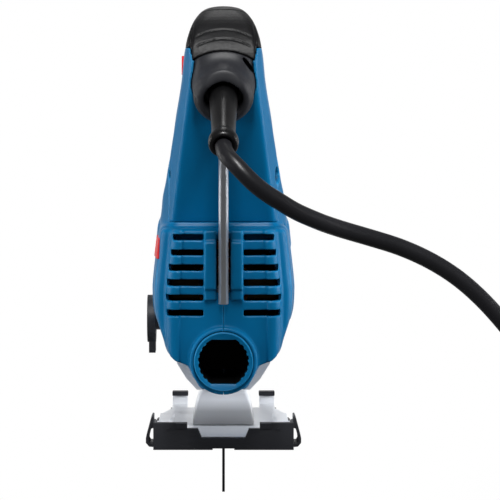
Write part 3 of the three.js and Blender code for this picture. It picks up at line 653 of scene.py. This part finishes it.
def body_field(g):
    ax = np.abs(g.X)
    side, rear = g.side(side_poly), g.rear(rear_poly)
    # raised flank panel with a groove round it
    pan = g.side(PANEL)
    flank = 0.9 * smooth01(pan / 1.4 + 0.5) + 0.75 * np.exp(-((pan - 0.6) / 0.75) ** 2)
    flank = flank * smooth01((g.Z - 50) / 8) * smooth01((128 - g.Z) / 10)
    f = smax(side, rear + flank, 5.0)
    wr = np.interp(g.Z, [30, 34.3, 37.5, 42.0, 46.6, 48.9, 51.0, 54.3, 60, 65.6, 71.3, 77, 83, 90], [10.2, 10.9, 12.2, 14.4, 16.9, 22.8, 25.2, 27.1, 28.9, 30.7, 32.3, 33.5, 34.6, 36.5])
    wr = wr + 0.13 * np.maximum(0, g.Y + 97)
    low = smax(smax(f, scaled_plan(g, plan_low), 2.4), g.Z - 112.2, 4.0)
    low = smax(low, (ax - wr) * 0.8, 2.0)
    yb = -89.0 - (g.Z - 114.0) * 0.412
    e = 24.9 - 0.1332 * (g.Z - 113.6)
    back = yb - g.Y + 1.3 * np.clip((ax - (e - 4.2)) / 4.2, 0, 1.4) ** 2
    back = back * 0.92
    flare = (ax - e - 0.30 * (g.Y - yb - 1.3)) * 0.97
    front = g.plan(plan_low)
    up = smax(f, front + 0 * g.Z - 2.0 * smooth01((-70 - g.Y) / 10) * 8, 3.0)
    up = smax(up, back, 1.0)
    up = smax(up, flare, 1.4)
    waist = ax - (17.6 + 0.0036 * (g.Y + 35) ** 2 + 0.4 * np.maximum(0, 168 - g.Z))
    up = smax(up, waist, 5.0)
    up = smax(up, 100 - g.Z, 1.0)
    body = smin(low, up, 1.6)
    return smax(body, -g.side(gap_poly), 9.0)


VENT_Y = [(234.2, 240.5), (249.7, 255.7), (264.6, 271.2), (279.5, 286.4), (294.7, 301.1), (310.0, 316.3)]
VENT_OUT = [23.6, 24.5, 25.6, 26.4, 26.8, 26.6]


def z_at(py, y):
    """Height of the point of the midplane at depth y that stands py lines down the 500-line frame."""
    lo, hi = -100.0, 300.0
    for _ in range(40):
        m = (lo + hi) / 2
        dy, dz = y + 60, m - 98.1
        d = 1150 + dy * math.cos(ELEV) - dz * math.sin(ELEV)
        u = dy * math.sin(ELEV) + dz * math.cos(ELEV)
        if 250 - 2360 * u / d > py:
            lo = m
        else:
            hi = m
    return (lo + hi) / 2


VENTS = [(z_at(b, -104.6), z_at(a, -104.6), x) for (a, b), x in zip(VENT_Y, VENT_OUT)]
PORT_Z, PORT_R = 49.2, 14.4


def box_field(g, x0, x1, y0, y1, z0, z1, r=0.0):
    qx = np.maximum(x0 - g.X, g.X - x1)
    qy = np.maximum(y0 - g.Y, g.Y - y1)
    qz = np.maximum(z0 - g.Z, g.Z - z1)
    if r:
        return smax(smax(qx, qz, 2 * r), qy, 0.6)
    return np.maximum(np.maximum(qx, qy), qz)


SDY, SDZ = -0.9033, -0.4290
MOUTH = (-127.5, 171.9)


def sleeve_axis(g):
    py, pz = g.Y - MOUTH[0], g.Z - MOUTH[1]
    a = py * SDY + pz * SDZ + 0 * g.X
    q = py * SDZ - pz * SDY
    return a, np.sqrt(g.X ** 2 + q ** 2)


def collar_solid(g):
    """The rear boss: a barrel about the sleeve's axis under a rounded upright."""
    a, r = sleeve_axis(g)
    barrel = smax(smax(r - 13.9, a + 0.6, 5.0), -(a + 27), 0.5)
    ring = smax(smax(r - 11.6, a - 0.2, 2.0), -(a + 8), 0.5)
    yb = -126.4 + (g.Z - 176) * 0.32
    q_ = (np.abs(g.X) / 14.6) ** 3.4 + (np.abs(g.Y + 104) / np.maximum(-104 - yb, 4)) ** 3.4
    up = (q_ ** (1 / 3.4) - 1) * 14.5
    up = smax(smax(up, 177.5 - g.Z - 0.012 * g.X ** 2, 5.0), g.Z - 197.5, 1.0)
    return smin(smin(barrel, up, 2.4), ring, 1.6)


SCREWS = [(-76, 107.5), (-66, 52), (-3, 111.5), (-56, 186), (-84, 136), (48.4, 109.4)]
HEAD_X = [18, 18, 18, 14.4, 18, 18]


def shell_field(g, hand, D0):
    """One half shell: wall 2.8 mm, with its vents, port seat, collar seat and blade opening."""
    D = D0.copy()
    # clip pillars stand on the rear face beside the key channel
    pil = smax(box_field(g, 3.35, 8.9, -107.9, -100, z_at(300.5, -107), z_at(231.0, -107), 0.3), 0 * g.Z + (-107.9 - g.Y), 0.4)
    stp = np.maximum(np.clip((g.Z - z_at(243.0, -107)) / 1.2, 0, 1), np.clip((z_at(288.5, -107) - g.Z) / 1.2, 0, 1))
    pil = smax(pil, (-106.3 - g.Y) * 1.0 - 1.6 * (1 - stp), 0.5)
    D = smin(D, pil, 0.7)
    inner = D + 2.8
    S = smax(D, -inner, 0.6)
    for (sy, sz), hx in zip(SCREWS, HEAD_X):
        rad = np.sqrt((g.Y - sy) ** 2 + (g.Z - sz) ** 2) + 0 * g.X
        S = smin(S, smax(smax(rad - 6.0, D + 0.4, 0.5), 6.0 - g.X, 0.5), 1.0)
        S = smax(S, -smax(rad - 2.1, g.X - 40, 0.2), 0.2)
        if hand > 0:
            S = smax(S, -smax(rad - 4.0, hx - 0.6 - g.X, 0.3), 0.5)
        else:
            S = smax(S, -smax(rad - 2.1, g.X - 14, 0.2), 0.2)
    if hand < 0:
        S = smax(S, -box_field(g, 10, 40, -82.6, -69.4, 182.4, 193.2, 0.8), 0.5)
        lev = np.sqrt((g.Y - 20) ** 2 + (g.Z - 56) ** 2) + 0 * g.X
        S = smax(S, -smax(lev - 6.4, 8 - g.X, 0.3), 0.5)
        S = smax(S, -smax(lev - 13.2, 34.4 - g.X, 0.3), 0.6)
    S = smax(S, cap_field(g, hand) * -1 + 0.18, 0.7)
    for z0, z1, xo in VENTS:
        out = xo + 0.2 - 0.25 * np.clip((g.Z - (z0 + z1) / 2) / 1.5, -1, 1) ** 2
        slot_ = np.maximum(np.maximum(9.4 - g.X, (g.X - out) * 0.8), g.Y + 95.4)
        slot_ = smax(slot_, np.abs(g.Z - (z0 + z1) / 2 + 0.1) - (z1 - z0) / 2 + 0.02, 0.25)
        S = smax(S, -slot_, 0.4)
    # key channel
    S = smax(S, -box_field(g, -3.1, 3.1, -112, -100.4, z_at(293.3, -106), z_at(239.4, -106), 0.2), 0.5)
    S = smax(S, -box_field(g, -3.4, 3.4, -115, -92, 147.0, 158.4, 1.0), 0.6)
    # port seat
    port = np.sqrt(g.X ** 2 + (g.Z - PORT_Z) ** 2)
    lip = smax(np.abs(port - 14.9) - 1.0, np.abs(g.Y + 104.6) - 1.1, 0.8)
    S = smin(S, lip, 1.6)
    S = smax(S, -smax(port - 14.05, g.Y + 70, 0.3), 0.25)
    # collar seat and front opening
    S = smax(S, -(collar_solid(g) - 0.28), 0.4)
    S = smax(S, -box_field(g, -11.3, 11.3, 24, 80, 30, 77, 2.0), 1.2)
    S = smax(S, -box_field(g, -23.6, 23.6, 3, 53, 30, 52.5, 0.5), 0.8)
    # trigger opening
    S = smax(S, -box_field(g, -6.7, 6.7, -20.9, 4.3, 158, 178, 1.5), 0.8)
    return smax(S, 0.015 - g.X, 0.02)


def half_shell(hand, name):
    """Coarse mesh for the body, a finer one for the grille behind the motor, joined."""
    parts = []
    for lo, hi, h, fine in (((-1.38, -121, 31), (36.5, 62.5, 199), H, 0), ((-0.7, -111.4, 31), (35.4, -91.6, 115.5), HF, 1), ((-0.9, -121, 112.4), (28.2, -82.4, 199), 0.6, 2)):
        g = Grid(lo, hi, h)
        F = shell_field(g, hand, body_field(g))
        R1 = np.maximum(g.Y + 93.0, g.Z - 113.8) + 0 * g.X
        R2 = np.maximum(g.Y + 84.0, 113.8 - g.Z) + 0 * g.X
        F = np.maximum(F, (-np.minimum(R1, R2), R1, R2)[fine])
        parts.append(g.mesh(F, name + ("", "_grille", "_column")[fine], M_BLUE))
    bm = bmesh.new()
    for o in parts:
        bm.from_mesh(o.data)
    if hand < 0:
        bmesh.ops.scale(bm, vec=(-1, 1, 1), verts=bm.verts)
        bmesh.ops.reverse_faces(bm, faces=bm.faces)
    bm.to_mesh(parts[0].data)
    bm.free()
    parts[0].data.polygons.foreach_set("use_smooth", np.ones(len(parts[0].data.polygons), bool))
    drop(*parts[1:])
    return parts[0]


H, HF = 1.0, 0.5
right = half_shell(1, "housing_shell_right")
left = half_shell(-1, "housing_shell_left")
print("shell faces", len(right.data.polygons))

# rubber cap over the bow handle: a coarse mesh forward, a fine one with the grooves behind
def grip_field(g):
    D = body_field(g)
    f = smax(smax(D, -(D + 2.8), 0.6), cap_field(g), 0.8)
    back = smooth01((-100 - g.Y) / 5)
    for za, zb in ((204.2, 201.6), (200.0, 197.2)):
        arc = za - (za - zb) * (g.X / 11.3) ** 2
        w = np.clip((13.6 - np.abs(g.X)) / 2.4, 0, 1)
        f = f + 0.52 * np.exp(-((g.Z - arc) / 0.33) ** 2) * back * w
    edge = np.abs(g.X) - (14.4 + 0.09 * (204 - g.Z))
    return f + 0.55 * np.exp(-(edge / 0.42) ** 2) * smooth01((-98 - g.Y) / 6) * smooth01((208 - g.Z) / 4)


grip_parts = []
for lo, hi, h, fine in (((-24.5, -121.5, 110), (24.5, 62.5, 220.5), 1.0, 0), ((-21.6, -121.8, 186.2), (21.6, -91.8, 220.5), 0.48, 1)):
    g = Grid(lo, hi, h)
    R = np.maximum(g.Y + 93.0, 187.4 - g.Z) + 0 * g.X
    grip_parts.append(g.mesh(np.maximum(grip_field(g), R if fine else -R), "handle_rubber" + ("", "_rear")[fine], M_RUBBER))
grip_ob = grip_parts[0]
bm = bmesh.new()
for o in grip_parts:
    bm.from_mesh(o.data)
bm.to_mesh(grip_ob.data)
bm.free()
grip_ob.data.polygons.foreach_set("use_smooth", np.ones(len(grip_ob.data.polygons), bool))
drop(*grip_parts[1:])
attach(grip_ob, "housing"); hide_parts("handle_grip")

for ob, node in ((right, "housing_right"), (left, "housing_left")):
    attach(ob, "housing"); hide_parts(node)


# =============================================================== rear boss, sleeve, dust port
g = Grid((-17.5, -131, 155), (17.5, -103, 199), 0.6)
a_, r_ = sleeve_axis(g)
C = collar_solid(g)
C = smax(C, g.Y + 104.35, 0.5)
C = smax(C, -smax(r_ - 8.9, -(a_ + 9.0), 0.6), 1.0)
C = smax(C, -(r_ - 6.75), 0.3)
Dc = body_field(g)
C = smax(C, -smax(cap_field(g) - 0.25, -(Dc + 3.05), 0.3), 0.3)
# cord clip slot on the right flank
ux, uz = 13.9 - 8.7, 184.6 - 191.4
L2 = ux * ux + uz * uz
t_ = np.clip(((g.X - 8.7) * ux + (g.Z - 191.4) * uz) / L2, 0, 1)
slit = np.sqrt((g.X - 8.7 - t_ * ux) ** 2 + (g.Z - 191.4 - t_ * uz) ** 2) - 0.62 * (1 - (2 * t_ - 1) ** 4) - 0.12
C = smax(C, -smax(slit + 0 * g.Y, g.Y + 112, 0.3), 0.3)
collar = g.mesh(C, "rear_boss", M_COLLAR)
put(collar, "housing", ("rear_collar",), "black_plastic")

SLEEVE = [(3.9, -14), (6.5, -14), (6.5, -1), (6.45, 2), (6.2, 8), (5.9, 16), (5.55, 24), (5.4, 30), (5.42, 35.4), (5.6, 36.8), (6.2, 38.2), (6.62, 39.8), (6.78, 41.6), (6.62, 43.4), (6.1, 44.6), (5.2, 45.1), (4.5, 44.9), (4.0, 44.0), (3.9, 40)]
sleeve = lathe(SLEEVE, "sleeve_body", M_SLEEVE, 72, "y", (0, MOUTH[0], MOUTH[1]), math.atan2(SDZ, SDY), 50)
put(sleeve, "housing", ("cable_sleeve",), "grip_rubber")


def block(x0, x1, y0, y1, z0, z1):
    return from_bm(prism([(x0, z0), (x1, z0), (x1, z1), (x0, z1)], y0, y1, "y"), "cutter", None, None)


def port_ring(stations, name, mat):
    """Tube of the dust port from (kind, value, y) stations; the bore has flats and side serrations."""
    N = 240
    bm = bmesh.new()
    loops = []
    for kind, val, y in stations:
        ring = []
        for i in range(N):
            t = 2 * math.pi * i / N
            if kind == "o":
                r = val
            else:
                r = min(11.95, 10.5 / max(abs(math.sin(t)), 1e-6))
                if abs(math.sin(t)) < 0.80 and (i % 10) < 4:
                    r -= 0.42
                r += val
            ring.append(bm.verts.new((r * math.cos(t) * MM, y * MM, (PORT_Z + r * math.sin(t)) * MM)))
        loops.append(ring)
    for k in range(len(loops)):
        A, B = loops[k], loops[(k + 1) % len(loops)]
        for i in range(N):
            j = (i + 1) % N
            bm.faces.new((A[i], A[j], B[j], B[i]))
    return from_bm(bm, name, mat, 30)


rim = port_ring([("o", 13.95, -106.2), ("o", 13.95, -108.0), ("o", 13.8, -108.4), ("o", 13.5, -108.6), ("o", 13.15, -108.45), ("i", 0.32, -108.25), ("i", 0.08, -108.1), ("i", 0.0, -107.8), ("i", 0.0, -106.2)], "port_rim", M_BLUE)
put(rim, "housing", ("dust_port",), "blue_plastic")
# the bore's lining and end baffle take the near-black copy, as painted shade inside the port
duct = port_ring([("o", 13.95, -106.1), ("i", 0.0, -106.1), ("i", 0.0, -71.0), ("o", 13.95, -71.0)], "port_duct", M_DUCT)
put(duct, "housing", ("dust_port",), "black_plastic")
bm = prism([(13.8 * math.cos(t), PORT_Z + 13.8 * math.sin(t)) for t in np.linspace(-0.62, math.pi + 0.62, 40)], -70.9, -69.8, "y")
bm = soft_box(-11.4, 11.4, -84.0, -82.6, 53.4, 54.4, bm)
port_end = from_bm(bm, "port_baffle", M_DUCT, 30)
put(port_end, "housing", (), "black_plastic")

# =============================================================== gear casing and base
from_cad("gear_housing", "gear_casting", M_CAST, "housing", "cast_alloy", 0.8, 3, 25)
g = Grid((-17.5, -14, 2.6), (17.5, 13.5, 23.5), 0.55)
SAD_R = [(15.9, 4.25), (15.6, 7.0), (15.1, 10.0), (14.4, 13.5), (13.5, 17.0), (12.2, 19.9), (9.6, 21.2), (5.0, 21.5), (0, 21.6)]
sad = catmull2(SAD_R, 5, closed=False)
sad = np.concatenate([sad, (sad * [-1, 1])[::-1]])
SAD_S = [(-12.0, 4.25), (11.3, 4.25), (11.3, 21.8), (0.6, 21.9), (-2.6, 21.0), (-4.8, 18.6), (-5.8, 15.2), (-6.6, 11.6), (-7.8, 8.4), (-9.6, 6.0), (-12.0, 4.9)]
S = smax(g.rear(sad), g.side(fillet(SAD_S, [0.3, 0.5, 1.5, 2.5, 3, 4, 4, 4, 3, 2, 0.3], 5)), 1.6)
S = smax(S, -box_field(g, -3.3, 3.3, -2.7, 7.9, 0, 30, 0.4), 0.5)
saddle = g.mesh(S, "pivot_saddle", M_SADDLE)
# painted shade: the zinc's colour is darkened by height toward the foot of the arch, standing in for the shade there
nt_s = M_SADDLE.node_tree
b_s = next(n for n in nt_s.nodes if n.type == "BSDF_PRINCIPLED")
src_s = b_s.inputs["Base Color"].links[0].from_socket
sep_s = nt_s.nodes.new("ShaderNodeSeparateXYZ")
nt_s.links.new(nt_s.nodes.new("ShaderNodeTexCoord").outputs["Object"], sep_s.inputs[0])
up_s = nd(nt_s, "ShaderNodeMapRange")
up_s.inputs["From Min"].default_value, up_s.inputs["From Max"].default_value = 0.0, 0.022
nt_s.links.new(sep_s.outputs[2], up_s.inputs["Value"])
painted_shade_ramp_s = ramp(nt_s, up_s.outputs["Result"], [(0.26, (0.28,) * 3), (0.50, (0.45,) * 3), (0.76, (1, 1, 1))])
painted_shade_mix_s = nt_s.nodes.new("ShaderNodeMix")
painted_shade_mix_s.data_type, painted_shade_mix_s.blend_type = "RGBA", "MULTIPLY"
painted_shade_mix_s.inputs[0].default_value = 1.0
nt_s.links.new(src_s, painted_shade_mix_s.inputs[6])
nt_s.links.new(painted_shade_ramp_s.outputs["Color"], painted_shade_mix_s.inputs[7])
nt_s.links.new(painted_shade_mix_s.outputs[2], b_s.inputs["Base Color"])
put(saddle, "base", ("saddle",), "zinc_plated")
from_cad("base_plate", "sole_plate", M_SHEET, "base", "sheet_steel", 0.28, 2, 25)
from_cad("overshoe", "sole_overshoe", M_BLACK, "base", "black_plastic", 0.45, 3, 28)
for sx, hn in ((-1, "hook_left"), (1, "hook_right")):
    x0, x1 = sorted((sx * 19.2, sx * 27.8))
    hk = from_bm(soft_box(x0, x1, 66.6, 71.8, 8.6, 10.9, None, 0.5, "y"), "overshoe_" + hn, M_BLACK, 35)
    put(hk, "base", (), "black_plastic")
    x0, x1 = sorted((sx * 18.0, sx * 23.4))
    bm = soft_box(x0, x1, -62.9, -61.9, 10.6, 13.25, None, 0.3, "y")
    bm = soft_box(*sorted((sx * 26.4, sx * 27.6)), -62.5, -61.9, 9.6, 10.8, bm, 0.5, "y")
    wb = from_bm(bm, "overshoe_rib_" + hn[5:], M_BLACK, 35)
    put(wb, "base", (), "black_plastic")
from_cad("bevel_screw", "bevel_clamp_screw", M_STEEL, "base", "steel", 0.3, 2, 30)

# =============================================================== controls
from_cad("trigger", "trigger_blade", M_BLACK, "trigger", "black_plastic", 0.9, 3, 30)
from_cad("speed_dial", "dial_wheel", M_BLACK, "speed_dial", "black_plastic", 0.4, 2, 30)
lock = from_cad("lock_button", "lock_key", M_RED, "lock_button", "red_plastic", 0.7, 3, 30)
for v in lock.data.vertices:
    v.co.x -= 0.0007 * float(v.co.x < -0.0176)
    v.co.z += 0.0021 * float(v.co.z > 0.1868)
from_cad("orbital_lever", "orbit_knob", M_BLACK, "orbital_lever", "black_plastic", 0.9, 4, 30)
from_cad("release_lever", "clamp_lever", M_GREY, "release_lever", "grey_plastic", 0.6, 3, 30)
g = Grid((24, -101, 92), (37, -64, 110), 0.5)
Db = body_field(g)
P = smax(np.abs(Db - 0.1) - 0.45, g.side(fillet([(-93.4, 96.3), (-72, 96.3), (-67.5, 106.2), (-91.6, 106.2)], 0.8, 4)), 0.3)
badge = g.mesh(P, "flank_badge", M_RED)
badge.data.transform(Matrix.Scale(-1, 4, (1, 0, 0)))
badge.data.flip_normals()
put(badge, "housing", ("side_badge",), "red_plastic")
from_cad("chip_guard", "chip_shield", M_GLASS, "housing", "clear_plastic", 0.4, 2, 30)
bm = bmesh.new()
path = [(-107.6, 76.4, 0.0)] + [(-107.6 + 6.7 * t ** 2, 148.2 + 6.7 * (1 - (1 - t) ** 2), t) for t in np.linspace(0, 1, 10)] + [(-92.5, 154.9, 1.0)]
rings_ = []
for y, z, t in path:
    ty, tz = (t, 1 - t) if 0 < t < 1 else (float(t >= 1), float(t <= 0))
    n_ = math.hypot(ty, tz)
    ty, tz = ty / n_, tz / n_
    rings_.append([bm.verts.new((2.35 * math.cos(k * math.pi / 3) * 0.001, (y - tz * 2.35 * math.sin(k * math.pi / 3)) * 0.001, (z + ty * 2.35 * math.sin(k * math.pi / 3)) * 0.001)) for k in range(6)])
for p_, q_ in zip(rings_, rings_[1:]):
    for k in range(6):
        bm.faces.new((p_[k], p_[(k + 1) % 6], q_[(k + 1) % 6], q_[k]))
bm.faces.new(rings_[0][::-1])
bm.faces.new(rings_[-1])
bmesh.ops.recalc_face_normals(bm, faces=bm.faces)
key = from_bm(bm, "hex_key_bar", M_KEY, 20)
apply_mod(key, "BEVEL", width=0.00022, segments=2, limit_method="ANGLE", angle_limit=math.radians(40))
shade(key, 24)
put(key, "hex_key", ("hex_key",), "zinc_plated")
from_cad("blade", "saw_blade", M_BLADE, "plunger", "blade_steel", 0.12, 1, 30)
from_cad("blade_clamp", "blade_chuck", M_ZINC, "plunger", "zinc_plated", 0.5, 3, 30)
from_cad("guide_roller", "roller_wheel", M_STEEL, "guide_roller", "steel", 0.3, 2, 30)
from_cad("roller_fork", "roller_yoke", M_ZINC, "roller_fork", "zinc_plated", 0.4, 2, 30)

# =============================================================== plug and tie
plug = from_cad("plug_body", "plug_moulding", M_CORD, "housing", "cord_rubber", 1.2, 4, 30)
pins = [from_cad(n, n + "_bar", M_ZINC, "housing", "brass_parts", 0.35, 2, 40) for n in ("plug_pin_left", "plug_pin_right")]
tie = from_cad("cord_tie", "hook_loop_tie", M_BLACK, "housing", "black_plastic", 0.5, 2, 30)

# =============================================================== parts kept as built
KEEP = {
    M_ZINC: ["case_screw_%d" % i for i in range(1, 7)],
    M_GREY: ["cable_clamp", "switch_module"],
    M_DARK: ["stator_core", "rear_bearing", "armature_core"],
    M_STEEL: ["front_bearing", "armature_shaft", "armature_pinion", "gear_axle", "drive_gear", "scotch_yoke", "plunger_rod"],
    M_COPPER: ["field_coil_upper", "field_coil_lower", "armature_winding", "commutator"],
    M_BRASS: ["brush_holder_left", "brush_holder_right", "plunger_bush_upper", "plunger_bush_lower"],
    M_CARBON: ["carbon_brush_left", "carbon_brush_right"],
    M_BLACK: ["cooling_fan"],
}
for mat_, names in KEEP.items():
    for n in names:
        me = frame["nodes"][n].data
        me.materials.clear()
        me.materials.append(mat_)

# =============================================================== studio
def area(name, loc, target, size, power, colour=(1, 1, 1), size_y=None, glossy=True):
    l = bpy.data.lights.new(name, "AREA")
    l.energy, l.size, l.color = power, size, colour
    if size_y:
        l.shape, l.size_y = "RECTANGLE", size_y
    o = bpy.data.objects.new(name, l)
    COL.objects.link(o)
    o.location = loc
    o.rotation_euler = (Vector(target) - Vector(loc)).to_track_quat("-Z", "Y").to_euler()
    o.visible_glossy = glossy
    return o


area("top_band", (0.0, -0.85, 0.95), (0, -0.09, 0.12), 0.11, 8.0, size_y=0.55)
area("crown_strip", (0.0, 0.62, 0.98), (0, -0.10, 0.17), 0.12, 0.65, size_y=0.45)
area("top_soft", (0.0, -0.25, 1.2), (0, -0.06, 0.08), 0.6, 5.0, glossy=False)
area("side_left", (-0.9, -0.10, 0.12), (0, -0.06, 0.06), 0.50, 5.0, glossy=False)
area("side_right", (0.9, -0.10, 0.20), (0, -0.06, 0.08), 0.50, 7.5, glossy=False)
area("bevel_left", (-1.2, -0.08, 0.26), (0, -0.08, 0.10), 0.10, 0.7, size_y=0.4)
area("bevel_right", (1.2, -0.08, 0.26), (0, -0.08, 0.10), 0.10, 1.8, size_y=0.4)
area("edge_left", (-1.1, 0.56, 0.20), (0, -0.06, 0.10), 0.20, 1.5, size_y=0.8)
area("edge_right", (1.1, 0.56, 0.20), (0, -0.06, 0.10), 0.20, 1.5, size_y=0.8)
area("fill_left", (-1.0, -0.74, 0.30), (0, -0.06, 0.08), 0.45, 4.3, glossy=False)
area("fill_right", (1.0, -0.74, 0.30), (0, -0.06, 0.08), 0.45, 4.3, glossy=False)
w = bpy.data.worlds.new("studio")
bpy.context.scene.world = w
w.use_nodes = True
wn = w.node_tree
bg = wn.nodes["Background"]
tcw = wn.nodes.new("ShaderNodeTexCoord")
sxw = wn.nodes.new("ShaderNodeSeparateXYZ")
wn.links.new(tcw.outputs["Generated"], sxw.inputs[0])
mrw = ramp(wn, sxw.outputs[1], [(0.30, (0.06,) * 3), (0.91, (0.20,) * 3), (0.977, (1, 1, 1))])
wn.links.new(mrw.outputs["Color"], bg.inputs["Strength"])
bg.inputs["Color"].default_value = (1, 1, 1, 1)
